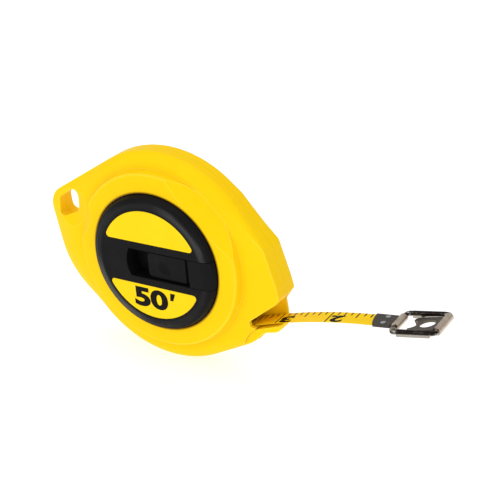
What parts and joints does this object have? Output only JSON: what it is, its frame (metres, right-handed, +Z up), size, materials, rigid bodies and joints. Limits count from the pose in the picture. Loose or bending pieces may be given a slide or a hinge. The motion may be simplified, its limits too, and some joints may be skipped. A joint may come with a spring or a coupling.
{
  "type": "tape measure",
  "caption": "Closed-case long tape measure with a lens-shaped case, folding crank on a round disc, steel tape, and a wire loop with a hinged claw at its end.",
  "frame": {"origin": "centre of the flat round face on the back of the case, on the reel's axis", "axes": "+Y out of the back face along the reel's axis, +X towards the mouth and the pulled-out tape, +Z up, across the case"},
  "size_m": [0.1997, 0.0259, 0.1021],
  "materials": {
    "case_yellow": "moulded ABS, glossy",
    "disc_black": "moulded, satin",
    "label_yellow": "printed film, glossy",
    "tape_paint": "enamelled steel tape with black marks",
    "dark_steel": "dark oxide steel",
    "nickel": "bright nickel plate",
    "reel_plastic": "moulded, natural",
    "screw_steel": "zinc plated"
  },
  "bodies": {
    "case": {"front_shell": "case_yellow", "rear_shell": "case_yellow", "case_screws": "screw_steel", "drum_washer": "reel_plastic", "tape_run": "tape_paint"},
    "reel": {"drum": "reel_plastic", "drum_flange": "reel_plastic", "tape_coil": "tape_paint", "anchor_pin": "screw_steel", "crank_disc": "disc_black", "upper_label": "label_yellow", "lower_label": "label_yellow", "crank_screw": "screw_steel", "arm_pin": "screw_steel"},
    "arm": {"crank_arm": "disc_black", "knob_rivet": "screw_steel"},
    "knob": {"crank_knob": "disc_black"},
    "blade": {"tape_blade": "tape_paint", "blade_sleeve": "dark_steel", "sleeve_rivets": "dark_steel", "hinge_clip": "nickel"},
    "loop": {"hook_loop": "nickel"},
    "claw": {"hook_claw": "nickel"}
  },
  "joints": [
    {"name": "reel_spin", "type": "hinge", "parent": "case", "child": "reel", "pos_m": [0, -0.0103, 0], "axis": [0, 1, 0], "range_deg": [0, 66]},
    {"name": "arm_fold", "type": "hinge", "parent": "reel", "child": "arm", "pos_m": [0.02792, -0.0243, 0.0021], "axis": [-0.075, 0, 0.9972], "range_deg": [0, 178]},
    {"name": "knob_spin", "type": "hinge", "parent": "arm", "child": "knob", "pos_m": [0.00758, -0.0226, 0.00057], "axis": [0, 1, 0], "continuous": true},
    {"name": "blade_feed", "type": "hinge", "parent": "case", "child": "blade", "pos_m": [0.1545, -0.0103, -0.26227], "axis": [0, 1, 0], "range_deg": [-9.5, 0]},
    {"name": "loop_swing", "type": "hinge", "parent": "blade", "child": "loop", "pos_m": [0.11424, -0.0103, -0.00208], "axis": [0, 1, 0], "range_deg": [-100, 100]},
    {"name": "claw_swing", "type": "hinge", "parent": "loop", "child": "claw", "pos_m": [0.13328, -0.0103, 0.00298], "axis": [0, 1, 0], "range_deg": [-100, 0]}
  ],
  "couplings": [
    {"joint": "blade_feed", "follows": "reel_spin", "ratio": -0.14316}
  ]
}
